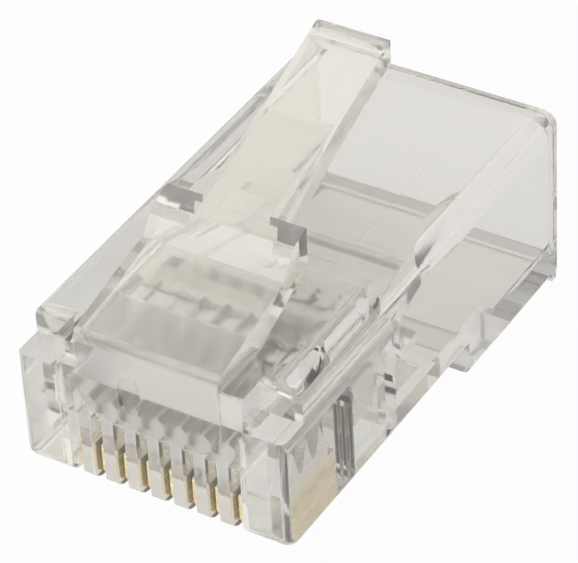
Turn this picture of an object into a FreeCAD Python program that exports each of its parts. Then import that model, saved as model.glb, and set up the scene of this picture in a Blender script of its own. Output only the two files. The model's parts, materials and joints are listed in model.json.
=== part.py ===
import FreeCAD, Part
import math
import os

# Eight-way modular plug: one clear moulded housing with a spring latch on top, two crimp bars
# in windows of its underside, and eight gold contact blades in slots behind the nose.
# Sizes are in millimetres. While the pieces are drawn, y = 0 is the front of the nose,
# z = 0 is the underside of the front section and x = 0 is the middle of the width.

# Housing, outside
plug_width = 11.68
plug_length = 21.25
body_height = 6.65
rear_drop = 1.35
step_from_nose = 13.82
nose_round = 0.77
top_edge_round = 0.61
bottom_edge_round = 0.33
front_edge_round = 0.29
nose_corner_round = 1.30
rear_lip_drop = 0.25
rear_lip_length = 0.35
rear_lip_inset = 0.05
top_recess_width = 6.00
top_recess_depth = 0.05
top_recess_start = 8.76
top_recess_end = 20.30

# Nose, with heights measured down from the top face
nose_block_width = 8.16
notch_depth = 1.44
ledge_drop = 1.38
notch_top_round = 0.45
fin_setback = 0.10
tongue_drop = 3.23
tongue_corner = 1.38
gate_across = -0.85
gate_drop = 1.60
gate_width = 1.18
gate_tall = 1.73
gate_deep = 0.16

# Latch, with heights measured up from the top face
latch_root_width = 6.29
shoulder_width = 6.06
hinge_from_nose = 2.98
plate_rise_at_nose = 0.64
plate_top_slope = 0.228
nose_top_round = 0.50
ramp_foot = 4.90
ramp_head = 5.72
ramp_head_rise = 2.80
shoulder_from_nose = 6.74
rib_top_slope = 0.2295
rib_width = 2.95
rib_end = 11.56
rib_base_share = 0.5
arm_width_at_shoulder = 3.64
arm_width = 3.26
arm_end = 15.90
arm_underside_slope = 0.3615
arm_thickness = 1.04
arm_end_round = 0.35
arm_corner_round = 0.40

# Cable entry, inside
side_wall = 0.90
top_wall = 0.87
rear_floor = -0.39
rear_floor_end = 18.60
mid_floor = 0.05
mid_floor_start = 17.54
mid_floor_end = 16.38
front_floor = 1.00
front_floor_start = 15.22
funnel_start = 12.33
funnel_end = 8.91
funnel_middle = 45.0
entry_round = 0.60
mouth_flare = 0.25

# Wire channels
contact_count = 8
contact_pitch = 1.016
channel_diameter = 1.06
channel_height = 4.16
channel_front = 1.14

# Contact blades and their slots
slot_width = 0.50
slot_front_top = 3.22
blade_clearance = 0.04
blade_front_gap = 0.48
blade_end = 4.52
blade_proud = 0.13
blade_foot_height = 1.50
blade_foot_front_round = 0.55
blade_shoulder_setback = 0.62
blade_body_height = 2.15
blade_rear_setback = 0.45
tine_count = 3
tine_height = 3.36
tine_width = 0.70

# Bar that grips the cable jacket
jacket_window_width = 7.07
jacket_window_start = 9.24
jacket_window_end = 12.67
jacket_bar_gap = 0.38
jacket_bar_height = 1.79
jacket_bar_underside = 0.15
jacket_web_thickness = 0.35
jacket_web_length = 0.60
jacket_web_height = 1.59

# Bar that grips the single wires
wire_window_width = 8.45
wire_window_start = 5.68
wire_window_end = 8.09
wire_bar_gap = 0.26
wire_bar_top = 3.42
wire_bar_underside = 1.34
wire_bar_back_slope = 0.30
wire_web_thickness = 0.32
wire_web_length = 0.55
wire_web_height = 3.22

# Worked out from the sizes above
half_width = plug_width / 2
half_entry = half_width - side_wall
entry_top = body_height - top_wall
channel_radius = channel_diameter / 2
blade_thickness = slot_width - 2 * blade_clearance
blade_front = fin_setback + blade_front_gap
tongue_bottom = body_height - tongue_drop
ledge_height = body_height - ledge_drop
ramp_head_height = body_height + ramp_head_rise
outside = plug_width


def arm_underside(y):
    return body_height + arm_underside_slope * (y - hinge_from_nose)


def plate_top(y):
    return body_height + plate_rise_at_nose + plate_top_slope * y


def block_top(y):
    return ramp_head_height + rib_top_slope * (y - ramp_head)


def box(x_low, x_high, y_low, y_high, z_low, z_high):
    corner = FreeCAD.Vector(x_low, y_low, z_low)
    return Part.makeBox(x_high - x_low, y_high - y_low, z_high - z_low, corner)


def outline(points, radii):
    """Closed wire through the points, with a tangent arc at each corner that has a radius."""
    starts = []
    ends = []
    middles = []
    count = len(points)
    for index in range(count):
        here = points[index]
        back = (points[index - 1] - here).normalize()
        ahead = (points[(index + 1) % count] - here).normalize()
        radius = radii.get(index, 0)
        half_turn = back.getAngle(ahead) / 2
        reach = radius / math.tan(half_turn)
        starts.append(here + back * reach)
        ends.append(here + ahead * reach)
        inward = (back + ahead).normalize()
        middles.append(here + inward * (radius / math.sin(half_turn) - radius))
    edges = []
    for index in range(count):
        if radii.get(index, 0) > 0:
            edges.append(Part.Arc(starts[index], middles[index], ends[index]).toShape())
        edges.append(Part.makeLine(ends[index], starts[(index + 1) % count]))
    return Part.Wire(edges)


def side_prism(points, x_low, x_high, radii={}):
    """A profile of (y, z) points seen from the side, drawn across the width."""
    corners = [FreeCAD.Vector(x_low, y, z) for y, z in points]
    face = Part.Face(outline(corners, radii))
    return face.extrude(FreeCAD.Vector(x_high - x_low, 0, 0))


def plan_prism(points, z_low, z_high, radii={}):
    """A profile of (x, y) points seen from above, drawn upwards."""
    corners = [FreeCAD.Vector(x, y, z_low) for x, y in points]
    face = Part.Face(outline(corners, radii))
    return face.extrude(FreeCAD.Vector(0, 0, z_high - z_low))


def front_prism(points, y_low, y_high, radii={}):
    """A profile of (x, z) points seen from the front, drawn backwards."""
    corners = [FreeCAD.Vector(x, y_low, z) for x, z in points]
    face = Part.Face(outline(corners, radii))
    return face.extrude(FreeCAD.Vector(0, y_high - y_low, 0))


def rectangle(u_low, u_high, v_low, v_high):
    return [(u_low, v_low), (u_high, v_low), (u_high, v_high), (u_low, v_high)]


def contact_places():
    first = -contact_pitch * (contact_count - 1) / 2
    return [first + contact_pitch * index for index in range(contact_count)]


def section_block(y_low, underside):
    """Rounded block as wide as the plug, from y_low to the cable end."""
    profile = rectangle(-half_width, half_width, underside, body_height)
    radii = {
        0: bottom_edge_round,
        1: bottom_edge_round,
        2: top_edge_round,
        3: top_edge_round,
    }
    return front_prism(profile, y_low, plug_length, radii)


def nose_corner_mask():
    """Rounded front outline drawn slantwise, so that it only trims the two lower corners."""
    tall = body_height + plug_length
    corners = rectangle(-half_width, half_width, 0, tall)
    points = [FreeCAD.Vector(x, 0, z) for x, z in corners]
    face = Part.Face(outline(points, {0: nose_corner_round, 1: nose_corner_round}))
    return face.extrude(FreeCAD.Vector(0, plug_length, -plug_length))


def outer_body():
    front = section_block(0, 0)
    side_mask = side_prism(
        rectangle(0, plug_length, 0, body_height), -half_width, half_width, {0: nose_round}
    )
    plan_mask = plan_prism(
        rectangle(-half_width, half_width, 0, plug_length),
        0,
        body_height,
        {0: front_edge_round, 1: front_edge_round},
    )
    rear = section_block(step_from_nose, -rear_drop)
    lip = box(
        -half_width + rear_lip_inset,
        half_width - rear_lip_inset,
        plug_length - rear_lip_length,
        plug_length,
        -rear_drop - rear_lip_drop,
        rear_floor,
    )
    front = front.common(side_mask).common(plan_mask).common(nose_corner_mask())
    return front.fuse([rear, lip])


def nose_notches():
    """Open corners at both sides of the nose top, with a rounded step up to the top face."""
    crown = body_height + outside
    round_start = body_height - notch_top_round
    round_end = notch_depth + notch_top_round
    inner = nose_block_width / 2
    tools = []
    for low, high in ((-half_width - outside, -inner), (inner, half_width + outside)):
        step = box(low, high, -outside, notch_depth, ledge_height, crown)
        edge = box(low, high, notch_depth, round_end, round_start, crown)
        centre = FreeCAD.Vector(low, round_end, round_start)
        across = FreeCAD.Vector(1, 0, 0)
        curve = Part.makeCylinder(notch_top_round, high - low, centre, across)
        tools.append(step.fuse(edge.cut(curve)))
    return tools


def fin_relief():
    """The nose face between the side walls stands back a little."""
    inner = nose_block_width / 2
    return box(-inner, inner, -outside, fin_setback, -outside, body_height + outside)


def latch_root():
    """Tongue down the nose face and thick foot of the latch, as far as its hinge line."""
    half = latch_root_width / 2
    seat = body_height - top_wall
    profile = [
        (0, tongue_bottom),
        (0, plate_top(0)),
        (hinge_from_nose, plate_top(hinge_from_nose)),
        (hinge_from_nose, seat),
        (notch_depth, seat),
        (notch_depth, tongue_bottom),
    ]
    foot = side_prism(profile, -half, half, {1: nose_top_round})
    face = rectangle(-half, half, tongue_bottom, body_height + outside)
    mask = front_prism(face, -outside, plug_length, {0: tongue_corner, 1: tongue_corner})
    return foot.common(mask)


def gate_recess():
    """Small six-sided hollow in the tongue, where the mould was filled."""
    x_half = gate_width / 2
    z_half = gate_tall / 2
    height = body_height - gate_drop
    corners = [
        (gate_across - x_half, height),
        (gate_across - x_half / 2, height - z_half),
        (gate_across + x_half / 2, height - z_half),
        (gate_across + x_half, height),
        (gate_across + x_half / 2, height + z_half),
        (gate_across - x_half / 2, height + z_half),
    ]
    return front_prism(corners, -outside, gate_deep)


def cable_entry():
    """Stepped floor, flat roof and a curved funnel that leads the wires up to the channels."""
    channel_low = channel_height - channel_radius
    channel_high = channel_height + channel_radius
    radius = funnel_start - funnel_end
    arc_low = FreeCAD.Vector(-half_entry, funnel_start, front_floor)
    turn = math.radians(funnel_middle)
    rise = channel_low - front_floor
    arc_mid = FreeCAD.Vector(
        -half_entry,
        funnel_start - radius * math.sin(turn),
        front_floor + rise * (1 - math.cos(turn)),
    )
    arc_high = FreeCAD.Vector(-half_entry, funnel_end, channel_low)
    path = [
        (funnel_end, channel_low),
        (funnel_end, channel_high),
        (funnel_start, entry_top),
        (plug_length, entry_top),
        (plug_length, rear_floor),
        (rear_floor_end, rear_floor),
        (mid_floor_start, mid_floor),
        (mid_floor_end, mid_floor),
        (front_floor_start, front_floor),
        (funnel_start, front_floor),
    ]
    points = [FreeCAD.Vector(-half_entry, y, z) for y, z in path]
    edges = [Part.makeLine(points[n], points[n + 1]) for n in range(len(points) - 1)]
    edges.append(Part.Arc(arc_low, arc_mid, arc_high).toShape())
    face = Part.Face(Part.Wire(edges))
    entry = face.extrude(FreeCAD.Vector(2 * half_entry, 0, 0))
    opening = rectangle(-half_entry, half_entry, rear_floor, entry_top)
    radii = {0: entry_round, 1: entry_round, 2: entry_round, 3: entry_round}
    return entry.common(front_prism(opening, 0, plug_length, radii))


def entry_mouth():
    """Bevel round the roof and the sides of the opening that guides the cable in."""
    wide = half_entry + mouth_flare
    start = plug_length - mouth_flare
    inner = rectangle(-half_entry, half_entry, rear_floor, entry_top)
    outer = rectangle(-wide, wide, rear_floor, entry_top + mouth_flare)
    sections = []
    for y, corners in ((start, inner), (plug_length, outer)):
        points = [FreeCAD.Vector(x, y, z) for x, z in corners]
        sections.append(Part.Wire(Part.makePolygon(points + [points[0]]).Edges))
    return Part.makeLoft(sections, True, True)


def wire_channels():
    """Grooves with round floors under one flat roof, one groove over each contact."""
    back = funnel_end + channel_radius
    length = back - channel_front
    places = contact_places()
    roof = channel_height + channel_radius
    tools = []
    for x in places:
        start = FreeCAD.Vector(x, channel_front, channel_height)
        tools.append(Part.makeCylinder(channel_radius, length, start, FreeCAD.Vector(0, 1, 0)))
    tools.append(box(places[0], places[-1], channel_front, back, channel_height, roof))
    return tools[0].fuse(tools[1:])


def contact_slots():
    """Slots open to the underside and the nose, that break into the channels above."""
    tools = []
    for x in contact_places():
        low = x - slot_width / 2
        high = x + slot_width / 2
        tools.append(box(low, high, -outside, blade_end, -outside, slot_front_top))
        tools.append(box(low, high, channel_front, blade_end, 0, channel_height))
    return tools


def crimp_windows():
    jacket_half = jacket_window_width / 2
    wire_half = wire_window_width / 2
    jacket = box(
        -jacket_half, jacket_half, jacket_window_start, jacket_window_end, -outside, channel_height
    )
    wire = box(
        -wire_half, wire_half, wire_window_start, wire_window_end, -outside, channel_height
    )
    return [jacket, wire]


def top_recess():
    half = top_recess_width / 2
    floor = body_height - top_recess_depth
    return box(-half, half, top_recess_start, top_recess_end, floor, body_height + outside)


def make_housing():
    body = outer_body()
    body = body.cut([fin_relief(), top_recess()] + nose_notches())
    body = body.fuse(latch_root())
    hollows = [cable_entry(), entry_mouth(), wire_channels(), gate_recess()]
    body = body.cut(hollows + contact_slots() + crimp_windows())
    return body.removeSplitter()


def make_latch():
    """Wide plate from the hinge, two shoulders that catch in the jack, and the finger arm."""
    block_end = shoulder_from_nose
    end_height = arm_underside(arm_end) + arm_thickness
    rib_base = arm_thickness * rib_base_share
    profile = [
        (hinge_from_nose, body_height),
        (arm_end, arm_underside(arm_end)),
        (arm_end, end_height),
        (rib_end, block_top(rib_end)),
        (block_end, arm_underside(block_end) + arm_thickness),
        (block_end, block_top(block_end)),
        (ramp_head, ramp_head_height),
        (ramp_foot, plate_top(ramp_foot)),
        (hinge_from_nose, plate_top(hinge_from_nose)),
    ]
    root = latch_root_width / 2
    shoulder = shoulder_width / 2
    neck = arm_width_at_shoulder / 2
    tip = arm_width / 2
    plan = [
        (-root, hinge_from_nose),
        (root, hinge_from_nose),
        (shoulder, block_end),
        (neck, block_end),
        (tip, rib_end),
        (tip, arm_end),
        (-tip, arm_end),
        (-tip, rib_end),
        (-neck, block_end),
        (-shoulder, block_end),
    ]
    body = side_prism(profile, -root, root, {1: arm_end_round, 2: arm_end_round})
    corners = {5: arm_corner_round, 6: arm_corner_round}
    mask = plan_prism(plan, body_height, end_height, corners)
    rib = side_prism(
        [
            (ramp_head, ramp_head_height),
            (ramp_head, arm_underside(ramp_head) + rib_base),
            (rib_end, arm_underside(rib_end) + rib_base),
            (rib_end, block_top(rib_end)),
        ],
        -rib_width / 2,
        rib_width / 2,
    )
    return body.common(mask).fuse(rib).removeSplitter()


def make_jacket_bar():
    """Bar in the rear window, moulded on a thin web at its front edge."""
    half = jacket_window_width / 2 - jacket_bar_gap
    bar_front = jacket_window_start + jacket_web_length
    bar_back = jacket_window_end - jacket_bar_gap
    web_top = jacket_web_height
    profile = [
        (jacket_window_start, web_top - jacket_web_thickness),
        (bar_front, web_top - jacket_web_thickness),
        (bar_front, jacket_bar_underside),
        (bar_back, jacket_bar_underside),
        (bar_back, jacket_bar_height),
        (bar_back - jacket_web_length, jacket_bar_height),
        (bar_front, web_top),
        (jacket_window_start, web_top),
    ]
    return side_prism(profile, -half, half)


def make_wire_bar():
    """Wedge-shaped bar in the front window, moulded on a thin web at its front edge."""
    half = wire_window_width / 2 - wire_bar_gap
    bar_front = wire_window_start + wire_web_length
    bar_back = wire_window_end - wire_bar_gap
    web_top = wire_web_height
    crest = (bar_front + bar_back) / 2
    profile = [
        (wire_window_start, web_top - wire_web_thickness),
        (bar_front, web_top - wire_web_thickness),
        (bar_front, wire_bar_underside),
        (bar_back - wire_bar_back_slope, wire_bar_underside),
        (bar_back, web_top),
        (crest, wire_bar_top),
        (bar_front, web_top),
        (wire_window_start, web_top),
    ]
    return side_prism(profile, -half, half)


def make_contact(x):
    """Stamped blade: rounded foot that meets the jack's spring wires, and tines on top."""
    half = blade_thickness / 2
    body_front = blade_front + blade_shoulder_setback
    body_back = blade_end - blade_rear_setback
    tine_pitch = (body_back - body_front) / tine_count
    points = [
        (blade_front, -blade_proud),
        (blade_end, -blade_proud),
        (blade_end, blade_foot_height),
        (body_back, blade_foot_height),
        (body_back, blade_body_height),
    ]
    middle = body_back - tine_pitch / 2
    for index in range(tine_count):
        points.append((middle + tine_width / 2, blade_body_height))
        points.append((middle, tine_height))
        points.append((middle - tine_width / 2, blade_body_height))
        middle = middle - tine_pitch
    points.append((body_front, blade_body_height))
    points.append((body_front, blade_foot_height))
    points.append((blade_front, blade_foot_height))
    return side_prism(points, x - half, x + half, {0: blade_foot_front_round})


def write(name, shape):
    """Move a piece from the drawing position onto the resting plane and save it."""
    placed = shape.copy()
    placed.translate(FreeCAD.Vector(0, -plug_length / 2, rear_drop + rear_lip_drop))
    placed.exportStep("parts/" + name + ".step")
    extent = placed.BoundBox
    print(name, placed.isValid(), len(placed.Solids), round(placed.Volume, 3), extent)


os.makedirs("parts", exist_ok=True)
write("housing", make_housing())
write("latch", make_latch())
write("jacket_clamp", make_jacket_bar())
write("wire_clamp", make_wire_bar())
for number, place in enumerate(contact_places(), start=1):
    write("contact_" + str(number), make_contact(place))
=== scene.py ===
# %% [markdown]
# # A clear modular plug with gold contacts
#
# This lesson dresses a finished CAD model of an eight-way modular plug, the kind that ends a
# network lead. The shapes come from the CAD frame. What Blender adds is light and matter:
# clear moulded plastic that bends the light, thin gold on stamped blades, and the soft, nearly
# shadowless light of a catalogue photograph.
#
# A clear part is mostly made of what is behind it. So the order here is frame, camera,
# surroundings, and only then the plastic itself.

import json
import math

import bmesh
import bpy
import numpy as np
from mathutils import Matrix, Vector


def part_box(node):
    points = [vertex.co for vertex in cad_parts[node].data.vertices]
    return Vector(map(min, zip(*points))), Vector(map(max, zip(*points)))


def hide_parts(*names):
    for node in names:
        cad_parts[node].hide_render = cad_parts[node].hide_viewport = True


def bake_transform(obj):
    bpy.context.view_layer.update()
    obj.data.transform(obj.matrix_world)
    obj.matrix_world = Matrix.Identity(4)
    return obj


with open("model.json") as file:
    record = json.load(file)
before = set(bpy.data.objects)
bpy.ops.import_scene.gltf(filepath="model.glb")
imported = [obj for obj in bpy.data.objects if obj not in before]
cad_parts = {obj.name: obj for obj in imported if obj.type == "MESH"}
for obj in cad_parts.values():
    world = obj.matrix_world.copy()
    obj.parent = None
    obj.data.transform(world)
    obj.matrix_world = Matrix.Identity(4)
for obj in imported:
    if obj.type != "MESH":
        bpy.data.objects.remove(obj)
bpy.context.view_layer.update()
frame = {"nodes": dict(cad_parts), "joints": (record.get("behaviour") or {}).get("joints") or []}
MM = 0.001

# %% [markdown]
# ## Sizes that come from the frame
#
# The nose front, the resting plane, the body's top and the line where the latch starts to bend
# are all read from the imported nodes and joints, so nothing here has to be fitted by eye.

# %% Places on the plug
HOUSING_LOW, HOUSING_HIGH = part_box("housing")
NOSE_Y = HOUSING_LOW.y
LENGTH = HOUSING_HIGH.y - HOUSING_LOW.y
hinge = next(joint for joint in frame["joints"] if joint["name"] == "latch_press")
HINGE = Vector(hinge["pos_m"])
CONTACTS = sorted(name for name in frame["nodes"] if name.startswith("contact_"))
print("hinge line at y, z in mm:", round(HINGE.y / MM, 3), round(HINGE.z / MM, 3))
print("contacts:", CONTACTS)

# %% [markdown]
# ## The camera
#
# The photograph was taken from the plug's front right, about 37 degrees above the table, with a
# long lens. A long lens keeps the far end of the plug nearly as large as the near end. The
# camera here stands 146 mm from the plug on a 232 mm lens, and it leans by a few degrees.

# %% Camera
VIEW_AZIMUTH = math.radians(32.888)
VIEW_ELEVATION = math.radians(37.829)
VIEW_ROLL = math.radians(-3.238)
VIEW_DISTANCE = 145.624 * MM
VIEW_TARGET = Vector((-0.4479 * MM, NOSE_Y + 10.74 * MM, 4.7672 * MM))
SENSOR = 36.0
FRAME_WIDTH = 578
FOCAL_PIXELS = 3724.36
NEAREST, FARTHEST = 0.005, 10.0


def view_axes(azimuth, elevation, roll):
    """Unit vectors to the picture's right, its top, and back from the scene to the camera."""
    back = Vector(
        (
            math.sin(azimuth) * math.cos(elevation),
            -math.cos(azimuth) * math.cos(elevation),
            math.sin(elevation),
        )
    )
    level = (-back).cross(Vector((0, 0, 1))).normalized()
    upright = level.cross(-back)
    right = math.cos(roll) * level + math.sin(roll) * upright
    up = -math.sin(roll) * level + math.cos(roll) * upright
    return right, up, back


def make_camera():
    right, up, back = view_axes(VIEW_AZIMUTH, VIEW_ELEVATION, VIEW_ROLL)
    data = bpy.data.cameras.new("photo_camera")
    data.sensor_width = SENSOR
    data.lens = FOCAL_PIXELS / FRAME_WIDTH * SENSOR
    data.clip_start, data.clip_end = NEAREST, FARTHEST
    camera = bpy.data.objects.new("photo_camera", data)
    bpy.context.scene.collection.objects.link(camera)
    turn = Matrix((right, up, back)).transposed().to_4x4()
    camera.matrix_world = Matrix.Translation(VIEW_TARGET + back * VIEW_DISTANCE) @ turn
    bpy.context.scene.camera = camera
    return camera


camera = make_camera()
print("lens in mm:", round(camera.data.lens, 1))

# %% [markdown]
# ## Small tools for materials
#
# Every finish below is a node tree. These helpers add a node, set its sockets and join it up,
# so that each material reads as a short recipe.

# %% Node helpers


def new_material(name):
    material = bpy.data.materials.new(name)
    material.use_nodes = True
    material.node_tree.nodes.clear()
    return material


def node(tree, kind, **values):
    """Add a node. A value named in_X sets the input X, and any other sets a property."""
    made = tree.nodes.new(kind)
    for key, value in values.items():
        if key.startswith("in_"):
            made.inputs[key[3:].replace("_", " ")].default_value = value
        else:
            setattr(made, key, value)
    return made


def link(tree, source, target):
    tree.links.new(source, target)


def noise(tree, coordinates, scale, detail=2.0):
    made = node(tree, "ShaderNodeTexNoise", in_Scale=scale, in_Detail=detail)
    link(tree, coordinates, made.inputs["Vector"])
    return made.outputs["Fac"]


def spread(tree, value, low, high, from_low=0.0, from_high=1.0):
    made = node(tree, "ShaderNodeMapRange")
    made.inputs["From Min"].default_value = from_low
    made.inputs["From Max"].default_value = from_high
    made.inputs["To Min"].default_value = low
    made.inputs["To Max"].default_value = high
    link(tree, value, made.inputs["Value"])
    return made.outputs["Result"]


def bump(tree, height, strength, distance):
    made = node(tree, "ShaderNodeBump", in_Strength=strength, in_Distance=distance)
    link(tree, height, made.inputs["Height"])
    return made.outputs["Normal"]


def arithmetic(tree, operation, first, second):
    """One sum or product of two node outputs, or of an output and a number."""
    made = node(tree, "ShaderNodeMath", operation=operation)
    for socket, value in zip(made.inputs, (first, second)):
        if isinstance(value, (int, float)):
            socket.default_value = value
        else:
            link(tree, value, socket)
    return made.outputs[0]


def product(tree, *factors):
    """All the factors multiplied with each other."""
    result = factors[0]
    for factor in factors[1:]:
        result = arithmetic(tree, "MULTIPLY", result, factor)
    return result


def split_places(tree, coordinates):
    """The x, y and z of a place, as three outputs."""
    split = node(tree, "ShaderNodeSeparateXYZ")
    link(tree, coordinates, split.inputs[0])
    return split.outputs


def mix_colours(tree, share, first, second):
    """The first colour where the share is 0, the second where it is 1."""
    made = node(tree, "ShaderNodeMix", data_type="RGBA")
    link(tree, share, made.inputs[0])
    for socket, colour in ((made.inputs[6], first), (made.inputs[7], second)):
        if isinstance(colour, tuple):
            socket.default_value = colour
        else:
            link(tree, colour, socket)
    return made.outputs[2]


def show_surface(tree, shader_output):
    out = node(tree, "ShaderNodeOutputMaterial")
    link(tree, shader_output, out.inputs["Surface"])


def share_of_even_white(tree, for_camera, for_plastic):
    """How much even white a ray sees: one share for the camera, one for mirrors and plastic."""
    path = node(tree, "ShaderNodeLightPath")
    glossy, through = path.outputs["Is Glossy Ray"], path.outputs["Is Transmission Ray"]
    camera_share = product(tree, path.outputs["Is Camera Ray"], for_camera)
    other_share = product(tree, arithmetic(tree, "MAXIMUM", glossy, through), for_plastic)
    return arithmetic(tree, "MAXIMUM", camera_share, other_share)


# %% [markdown]
# ## The surroundings
#
# The photograph has a pure white ground. A clear part on white needs something darker to show
# its form: without it the plug would nearly vanish. In a studio that is the dim room above the
# table, and the dark space where the photographer stands. The world below is a pale warm grey,
# a little darker overhead, with one dark patch low on the front left, which the backs of the
# latch's shoulders throw towards the camera. The camera itself always sees white, and mirrors
# and clear plastic see a share of that white over the pale grey.

# %% World
WHITE = (1.0, 1.0, 1.0, 1.0)
EVEN_SKY_FOR_PLASTIC = 0.20
SKY_AT_HORIZON = (0.90, 0.894, 0.875, 1.0)
SKY_OVERHEAD = (0.75, 0.731, 0.70, 1.0)
DARK_SIDE = (0.06, 0.055, 0.05, 1.0)
DARK_DIRECTION = (-0.45, -0.86, 0.25)
DARK_EDGE = (0.90, 0.96)
SKY_HEIGHTS = (0.05, 0.75)


def make_world():
    world = bpy.data.worlds.new("studio")
    bpy.context.scene.world = world
    world.use_nodes = True
    tree = world.node_tree
    tree.nodes.clear()
    where = node(tree, "ShaderNodeTexCoord")
    x, y, z = split_places(tree, where.outputs["Generated"])
    height = spread(tree, z, 0.0, 1.0, *SKY_HEIGHTS)
    sky = mix_colours(tree, height, SKY_AT_HORIZON, SKY_OVERHEAD)
    share = share_of_even_white(tree, 1.0, EVEN_SKY_FOR_PLASTIC)
    pale_sky = mix_colours(tree, share, sky, WHITE)
    toward = node(tree, "ShaderNodeVectorMath", operation="DOT_PRODUCT")
    toward.inputs[1].default_value = DARK_DIRECTION
    link(tree, where.outputs["Generated"], toward.inputs[0])
    dark = spread(tree, toward.outputs["Value"], 0.0, 1.0, *DARK_EDGE)
    camera_ray = node(tree, "ShaderNodeLightPath").outputs["Is Camera Ray"]
    hidden_dark = product(tree, dark, arithmetic(tree, "SUBTRACT", 1.0, camera_ray))
    room = node(tree, "ShaderNodeBackground", in_Strength=1.0)
    link(tree, mix_colours(tree, hidden_dark, pale_sky, DARK_SIDE), room.inputs["Color"])
    out = node(tree, "ShaderNodeOutputWorld")
    link(tree, room.outputs[0], out.inputs["Surface"])
    return world


make_world()
print("world: pale grey, with a dark patch on the front left")

# %% [markdown]
# ## The floor
#
# The floor is one large sheet. It could be a plain white paint, but then its brightness would
# depend on the lamps. Here nearly all that the camera sees is an even white, and the rest is real
# paint that takes the plug's soft shadow. Through the plastic and in the gold two fifths of it
# are paint, because what shows there is mostly the shaded table under the plug.

# %% Floor
FLOOR_HALF = 0.6
EVEN_WHITE_FOR_CAMERA = 0.97
EVEN_WHITE_FOR_PLASTIC = 0.60
TABLE_PAINT = (0.38, 0.375, 0.37, 1.0)


def floor_grid(half, count):
    """A flat square: x and y run over the grid from -half to half, and z is zero."""
    line = np.linspace(-half, half, count)
    x, y = np.meshgrid(line, line)
    return np.stack([x, y, np.zeros_like(x)], axis=-1)


def mesh_from_grid(name, grid):
    """Quads between neighbours of a grid of points, numbered row by row as whole arrays."""
    rows, columns = grid.shape[:2]
    index = np.arange(rows * columns).reshape(rows, columns)
    quads = np.stack(
        [index[:-1, :-1], index[:-1, 1:], index[1:, 1:], index[1:, :-1]], axis=-1
    ).reshape(-1, 4)
    mesh = bpy.data.meshes.new(name)
    mesh.from_pydata(grid.reshape(-1, 3).tolist(), [], quads.tolist())
    mesh.update()
    made = bpy.data.objects.new(name, mesh)
    bpy.context.scene.collection.objects.link(made)
    return made


def floor_finish():
    material = new_material("white_table")
    tree = material.node_tree
    paint = node(tree, "ShaderNodeBsdfDiffuse", in_Color=TABLE_PAINT)
    even = node(tree, "ShaderNodeEmission", in_Color=WHITE, in_Strength=1.0)
    share = share_of_even_white(tree, EVEN_WHITE_FOR_CAMERA, EVEN_WHITE_FOR_PLASTIC)
    choose = node(tree, "ShaderNodeMixShader")
    link(tree, share, choose.inputs[0])
    link(tree, paint.outputs[0], choose.inputs[1])
    link(tree, even.outputs[0], choose.inputs[2])
    show_surface(tree, choose.outputs[0])
    return material


floor = mesh_from_grid("floor", floor_grid(FLOOR_HALF, 3))
floor.data.materials.append(floor_finish())
print("floor is", 2 * FLOOR_HALF, "m wide")

# %% [markdown]
# ## Lamps
#
# Two large soft lamps stand in for the studio's boxes, one high on the left and one low in front
# of the nose, which lights the gold between the fins. Clear plastic mirrors every lamp in its
# flat faces and along its rounded edges. The high lamp is so wide that its mirror image covers
# the whole latch and is hardly brighter than the sky around it, so no edge of it shows there.
# Both are hidden from rays that come through the plastic, so that no burnt-out patch shows
# inside. A third lamp is tiny and weak. It adds hardly any light, but corners catch it as sharp
# glints.

# %% Lamps


def make_lamp(name, place, size, watts):
    """A square lamp at a place in metres, turned to face the plug."""
    data = bpy.data.lights.new(name, "AREA")
    data.shape = "SQUARE"
    data.size = size
    data.energy = watts
    lamp = bpy.data.objects.new(name, data)
    bpy.context.scene.collection.objects.link(lamp)
    lamp.location = place
    lamp.rotation_mode = "QUATERNION"
    lamp.rotation_quaternion = (Vector(place)).to_track_quat("Z", "Y")
    return lamp


key_box = make_lamp("key_box", (-0.22, -0.10, 0.34), 0.60, 1.2)
fill_box = make_lamp("fill_box", (0.12, -0.36, 0.13), 0.20, 1.1)
for soft_box in (key_box, fill_box):
    soft_box.visible_transmission = False
make_lamp("spark", (-0.05, -0.30, 0.30), 0.02, 0.05)

# %% [markdown]
# ## The frosted foot of the latch
#
# The mould leaves the foot of the latch rough, from the hinge over the top of the nose and down
# the tongue on its face, and there the plastic looks like frosted glass. It could be cut off as
# a piece with a finish of its own, but clear plastic would show every cut. So it stays one skin,
# and a mask on the object's own coordinates says where it is rough. The tongue's two lower
# corners are rounded: a point is inside when its distance from the corner's centre is less than
# the corner's radius.

# %% Frosted skin
BODY_TOP = HINGE.z
TONGUE_HALF_WIDTH = 3.12 * MM
TONGUE_DROP = 3.23 * MM
TONGUE_CORNER = 1.38 * MM
FROST_EDGE = 0.08 * MM
FROST_END = 2.1 * MM
FROST_FADE = 0.12 * MM
FROST_FACE_DEPTH = 0.25 * MM
FROST_TOP_DEPTH = 0.35 * MM


def tongue_outline(tree, x, z):
    """1 inside the tongue's outline seen from the front, with its two rounded lower corners."""
    side = arithmetic(tree, "ABSOLUTE", x, 0.0)
    past_x = arithmetic(tree, "SUBTRACT", side, TONGUE_HALF_WIDTH - TONGUE_CORNER)
    corner_z = BODY_TOP - TONGUE_DROP + TONGUE_CORNER
    past_z = arithmetic(tree, "SUBTRACT", corner_z, z)
    across = arithmetic(tree, "MAXIMUM", past_x, 0.0)
    below = arithmetic(tree, "MAXIMUM", past_z, 0.0)
    square = arithmetic(tree, "ADD", product(tree, across, across), product(tree, below, below))
    distance = arithmetic(tree, "SQRT", square, 0.0)
    return spread(tree, distance, 1.0, 0.0, TONGUE_CORNER - FROST_EDGE, TONGUE_CORNER)


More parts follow.
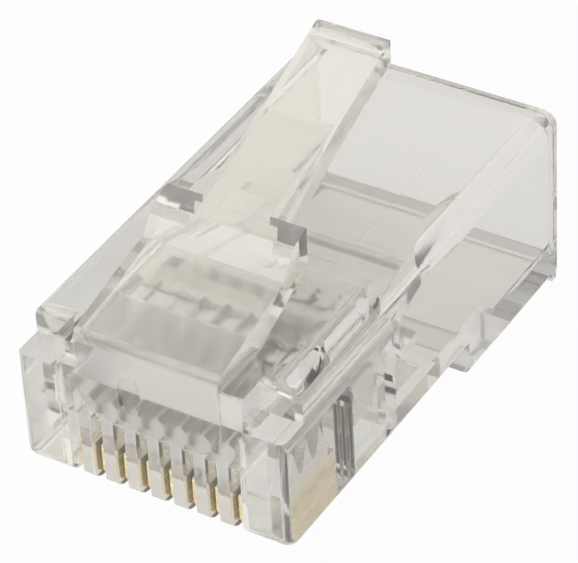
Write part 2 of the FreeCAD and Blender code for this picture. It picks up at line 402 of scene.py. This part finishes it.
def frost_mask(tree, coordinates):
    """1 on the skin of the latch's foot and of the tongue, 0 everywhere else."""
    x, y, z = split_places(tree, coordinates)
    end = NOSE_Y + FROST_END
    ahead = spread(tree, y, 1.0, 0.0, end, end + FROST_FADE)
    top = BODY_TOP - FROST_TOP_DEPTH
    high = spread(tree, z, 0.0, 1.0, top - FROST_EDGE, top)
    face = NOSE_Y + FROST_FACE_DEPTH
    front = spread(tree, y, 1.0, 0.0, face, face + FROST_EDGE)
    skin = arithmetic(tree, "MAXIMUM", high, front)
    return product(tree, tongue_outline(tree, x, z), ahead, skin)


print("frosted skin ends at y in mm:", round((NOSE_Y + FROST_END) / MM, 2))

# %% [markdown]
# ## Fins, channels and a grey band on the end face
#
# Three more places differ, and each gets a mask of the same kind, a few bounds on x, y and z
# multiplied with each other. The fronts of the fins are hazy near their feet. The wire channels
# are formed by steel pins, which leave a slightly rough wall, roughest on the outer side of the
# two outermost channels. The low part of the end face at the cable's side is tinted dark grey
# and made hazier, so it shows as a grey line.

# %% Fins, channels and end face
FIN_HALF_WIDTH = 4.08 * MM
FIN_FOOT_BELOW_BODY = 5.0 * MM
CORE_HALF_WIDTH = 4.15 * MM
CORE_BELOW_BODY = (1.85 * MM, 3.1 * MM)
CORE_END = 9.5 * MM
OUTER_GROOVE = (3.75 * MM, 3.95 * MM)
LIP_BELOW_BODY = 7.0 * MM


def fin_mask(tree, coordinates):
    """1 on the lower part of the fins' front faces, between the side walls, and 0 elsewhere."""
    x, y, z = split_places(tree, coordinates)
    side = arithmetic(tree, "ABSOLUTE", x, 0.0)
    between = spread(tree, side, 1.0, 0.0, FIN_HALF_WIDTH, FIN_HALF_WIDTH + FROST_EDGE)
    face = NOSE_Y + FROST_FACE_DEPTH
    front = spread(tree, y, 1.0, 0.0, face, face + FROST_EDGE)
    foot_top = BODY_TOP - FIN_FOOT_BELOW_BODY
    low = spread(tree, z, 1.0, 0.0, foot_top, foot_top + FROST_FADE)
    return product(tree, between, front, low)


def core_mask(tree, coordinates):
    """1 on the walls of the wire channels, which a rougher steel core forms, and 0 elsewhere."""
    x, y, z = split_places(tree, coordinates)
    side = arithmetic(tree, "ABSOLUTE", x, 0.0)
    between = spread(tree, side, 1.0, 0.0, CORE_HALF_WIDTH, CORE_HALF_WIDTH + FROST_EDGE)
    end = NOSE_Y + CORE_END
    ahead = spread(tree, y, 1.0, 0.0, end, end + FROST_FADE)
    top, bottom = [BODY_TOP - depth for depth in CORE_BELOW_BODY]
    under_top = spread(tree, z, 1.0, 0.0, top, top + FROST_EDGE)
    over_bottom = spread(tree, z, 0.0, 1.0, bottom - FROST_EDGE, bottom)
    return product(tree, between, ahead, under_top, over_bottom)


def outer_groove(tree, coordinates, core):
    """1 on the outer side of the two outermost channels, where the core is roughest."""
    x, y, z = split_places(tree, coordinates)
    side = arithmetic(tree, "ABSOLUTE", x, 0.0)
    return product(tree, core, spread(tree, side, 0.0, 1.0, *OUTER_GROOVE))


def lip_mask(tree, coordinates):
    """1 on the low part of the plug's rear end face, tinted dark grey, and 0 elsewhere."""
    x, y, z = split_places(tree, coordinates)
    end = NOSE_Y + LENGTH
    behind = spread(tree, y, 0.0, 1.0, end - FROST_EDGE, end - FROST_EDGE / 2)
    top = BODY_TOP - LIP_BELOW_BODY
    low = spread(tree, z, 1.0, 0.0, top, top + FROST_EDGE)
    return product(tree, behind, low)


print("rough channel walls end at y in mm:", round((NOSE_Y + CORE_END) / MM, 2))

# %% [markdown]
# ## Clear plastic
#
# The housing is moulded in polycarbonate. It bends light more than window glass does, with an
# index of refraction of 1.585. Cheap plugs are not as clear as glass: a little light scatters
# in the plastic, so dark edges turn to a warm grey. Here a share of the surface is plain paint
# instead of clear, which is much quicker to render than a true cloudy volume. Each mask raises
# the share of paint or the roughness where it is 1.

# %% Clear plastic
PLASTIC_INDEX = 1.585
BODY_TINT = (0.955, 0.94, 0.90, 1.0)
NOSE_TINT = (0.76, 0.715, 0.685, 1.0)
# LIP_TINT and LIP_HAZE make the low band of the rear end face a darker, hazier grey.
LIP_TINT = (0.45, 0.43, 0.38, 1.0)
BODY_CLEAR = 0.94
NOSE_CLEAR = 0.87
FIN_HAZE = 0.30
LIP_HAZE = 0.45
OUTER_HAZE = 0.30
NOSE_ROUGHNESS = 0.13
CORE_ROUGHNESS = 0.12
OUTER_ROUGHNESS = 0.35
POLISH = (0.03, 0.05)
WALL_WAVE_PER_METRE = 420.0
WALL_WAVE_DEPTH = 0.004 * MM
WALL_WAVE_STRENGTH = 0.35
CLOUD_PER_WAVE = 2.5


def clear_plastic():
    material = new_material("clear_polycarbonate")
    tree = material.node_tree
    where = node(tree, "ShaderNodeTexCoord").outputs["Object"]
    wave = noise(tree, where, WALL_WAVE_PER_METRE, 1.0)
    cloud = noise(tree, where, WALL_WAVE_PER_METRE * CLOUD_PER_WAVE, 3.0)
    frost = frost_mask(tree, where)
    fins = fin_mask(tree, where)
    core = core_mask(tree, where)
    outer = outer_groove(tree, where, core)
    lip = lip_mask(tree, where)

    shader = node(tree, "ShaderNodeBsdfPrincipled")
    shader.inputs["IOR"].default_value = PLASTIC_INDEX
    tint = mix_colours(tree, frost, BODY_TINT, NOSE_TINT)
    link(tree, mix_colours(tree, lip, tint, LIP_TINT), shader.inputs["Base Color"])

    clear = spread(tree, frost, BODY_CLEAR, NOSE_CLEAR)
    for mask, haze in ((fins, FIN_HAZE), (lip, LIP_HAZE), (outer, OUTER_HAZE)):
        clear = arithmetic(tree, "SUBTRACT", clear, product(tree, mask, haze))
    link(tree, clear, shader.inputs["Transmission Weight"])

    rough = product(tree, frost, NOSE_ROUGHNESS)
    for mask, roughness in ((core, CORE_ROUGHNESS), (outer, OUTER_ROUGHNESS)):
        rough = arithmetic(tree, "MAXIMUM", rough, product(tree, mask, roughness))
    polish = spread(tree, cloud, *POLISH, 0.35, 0.7)
    link(tree, arithmetic(tree, "ADD", polish, rough), shader.inputs["Roughness"])
    link(tree, bump(tree, wave, WALL_WAVE_STRENGTH, WALL_WAVE_DEPTH), shader.inputs["Normal"])
    show_surface(tree, shader.outputs[0])
    return material


PLASTIC = clear_plastic()
print("plastic index:", PLASTIC_INDEX)

# %% [markdown]
# ## One moulding out of two nodes
#
# In the CAD frame the latch is a node of its own, because it moves. On the real plug it grows
# out of the housing without a seam, and in clear plastic a seam would show as a mirror. So the
# two nodes are copied, and the two matching faces on the hinge line are taken away, which leaves
# two open edges that can be welded.

# %% Copies without their hinge faces
WELD = 0.0005 * MM
FLAT_WITHIN = math.radians(0.3)
HINGE_REACH = 0.01 * MM
FACES_ALONG_Y = 0.99


def merged_copy(node_name, new_name):
    """A copy of a CAD node whose loose triangles share their corners."""
    source = frame["nodes"][node_name]
    mesh = source.data.copy()
    mesh.materials.clear()
    copy = bpy.data.objects.new(new_name, mesh)
    bpy.context.scene.collection.objects.link(copy)
    shape = bmesh.new()
    shape.from_mesh(mesh)
    bmesh.ops.remove_doubles(shape, verts=shape.verts, dist=WELD)
    bmesh.ops.dissolve_limit(
        shape, angle_limit=FLAT_WITHIN, verts=shape.verts, edges=shape.edges
    )
    shape.to_mesh(mesh)
    shape.free()
    return copy


def drop_hinge_face(copy):
    """Delete the flat face that the two nodes share on the hinge line, above the body top."""
    shape = bmesh.new()
    shape.from_mesh(copy.data)
    shared = [
        face
        for face in shape.faces
        if abs(face.normal.y) > FACES_ALONG_Y
        and abs(face.calc_center_median().y - HINGE.y) < HINGE_REACH
        and min(v.co.z for v in face.verts) > HINGE.z - HINGE_REACH
    ]
    bmesh.ops.delete(shape, geom=shared, context="FACES")
    shape.to_mesh(copy.data)
    shape.free()
    return len(shared)


moulding = merged_copy("latch", "clear_moulding")
body_copy = merged_copy("housing", "housing_copy")
dropped = (drop_hinge_face(moulding), drop_hinge_face(body_copy))
print("hinge faces dropped:", dropped)

# %% [markdown]
# ## Rows of edges across the latch's foot
#
# A real latch has no pin: its foot bends. So rows of edges are cut across the latch's copy, over
# the length of the bend behind the hinge line. This is done before the copy is joined, so the
# housing is not cut.

# %% Cut rows, join and weld
BEND_LENGTH = 1.6 * MM
BEND_ROWS = 5


def cut_rows(copy, first, length, rows):
    """Add edges across the copy at even steps of y, so that it can bend there."""
    shape = bmesh.new()
    shape.from_mesh(copy.data)
    for step in range(1, rows + 1):
        place = (0, first + length * step / rows, 0)
        parts = list(shape.verts) + list(shape.edges) + list(shape.faces)
        bmesh.ops.bisect_plane(shape, geom=parts, plane_co=place, plane_no=(0, 1, 0))
    shape.to_mesh(copy.data)
    shape.free()


def weld(copy):
    shape = bmesh.new()
    shape.from_mesh(copy.data)
    bmesh.ops.remove_doubles(shape, verts=shape.verts, dist=WELD)
    open_edges = sum(1 for edge in shape.edges if not edge.is_manifold)
    shape.to_mesh(copy.data)
    shape.free()
    return open_edges


def join(kept, added):
    """Join the second object into the first."""
    bpy.ops.object.select_all(action="DESELECT")
    added.select_set(True)
    kept.select_set(True)
    bpy.context.view_layer.objects.active = kept
    bpy.ops.object.join()
    return kept


cut_rows(moulding, HINGE.y, BEND_LENGTH, BEND_ROWS)
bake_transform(moulding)
join(moulding, body_copy)
open_edges = weld(moulding)
moulding.data.materials.append(PLASTIC)
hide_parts("housing", "latch")
print("open edges left:", open_edges)

# %% [markdown]
# ## The clamp bars
#
# Both bars are moulded with the housing, so they wear the same plastic. They fold on thin webs,
# and their shapes come straight from the CAD nodes.

# %% Clamp bars in the same plastic
for name in ("jacket_clamp", "wire_clamp"):
    bar = frame["nodes"][name]
    bar.data.materials.clear()
    bar.data.materials.append(PLASTIC)
print("clamp bars dressed")

# %% [markdown]
# ## Gold contacts
#
# Each contact is stamped from thin bronze and plated with nickel all over. Only its foot, which
# meets the jack's spring wires, is flashed with gold. Above the foot the pale nickel shows, so
# the slots between the fins look grey there. The colour changes over a short height. The plating
# is matt, so about half of what it sends back is scattered and half is mirrored.

# %% Gold
GOLD = (1.0, 0.87, 0.55, 1.0)
GOLD_DARK = (0.82, 0.69, 0.38, 1.0)
NICKEL = (0.96, 0.94, 0.89, 1.0)
GOLD_TOP = HOUSING_LOW.z + 2.85 * MM
GOLD_FADE = 0.15 * MM
METAL_SHARE = 0.55
TARNISH_PER_METRE = 1500.0
TARNISH_SHARE = 0.6
ROLLING_MARKS_PER_METRE = 9000.0
ROLLING_STRETCH = (1.0, 0.06, 1.0)
ROLLING_DEPTH = 0.003 * MM
ROLLING_STRENGTH = 0.2
PLATING_ROUGHNESS = (0.16, 0.34)


def contact_gold():
    material = new_material("contact_gold")
    tree = material.node_tree
    where = node(tree, "ShaderNodeTexCoord").outputs["Object"]
    stretch = node(tree, "ShaderNodeMapping")
    stretch.inputs["Scale"].default_value = ROLLING_STRETCH
    link(tree, where, stretch.inputs["Vector"])
    marks = noise(tree, stretch.outputs[0], ROLLING_MARKS_PER_METRE, 2.0)
    cloud = noise(tree, where, TARNISH_PER_METRE, 3.0)
    tarnish = spread(tree, cloud, 0.0, TARNISH_SHARE, 0.45, 0.75)
    colour = mix_colours(tree, tarnish, GOLD, GOLD_DARK)
    x, y, z = split_places(tree, where)
    above = spread(tree, z, 0.0, 1.0, GOLD_TOP, GOLD_TOP + GOLD_FADE)

    shader = node(tree, "ShaderNodeBsdfPrincipled", in_Metallic=METAL_SHARE)
    link(tree, mix_colours(tree, above, colour, NICKEL), shader.inputs["Base Color"])
    link(tree, spread(tree, marks, *PLATING_ROUGHNESS), shader.inputs["Roughness"])
    link(tree, bump(tree, marks, ROLLING_STRENGTH, ROLLING_DEPTH), shader.inputs["Normal"])
    show_surface(tree, shader.outputs[0])
    return material


gold = contact_gold()
for name in CONTACTS:
    blade = frame["nodes"][name]
    blade.data.materials.clear()
    blade.data.materials.append(gold)
print("gold contacts:", len(CONTACTS))

# %% [markdown]
# ## Render settings that belong to the look
#
# Light passes through many walls here, in and out of the housing and round the contacts. Each
# wall costs one transmission bounce, and each mirroring inside a wall one glossy bounce. Rays
# that run out of bounces come back black, so the limits are raised. Colours are shown as they
# are, with the Standard view.

# %% Look
BOUNCES = 24
scene = bpy.context.scene
scene.view_settings.view_transform = "Standard"
scene.cycles.max_bounces = BOUNCES
scene.cycles.transmission_bounces = BOUNCES
scene.cycles.glossy_bounces = BOUNCES
print("bounces:", scene.cycles.max_bounces)
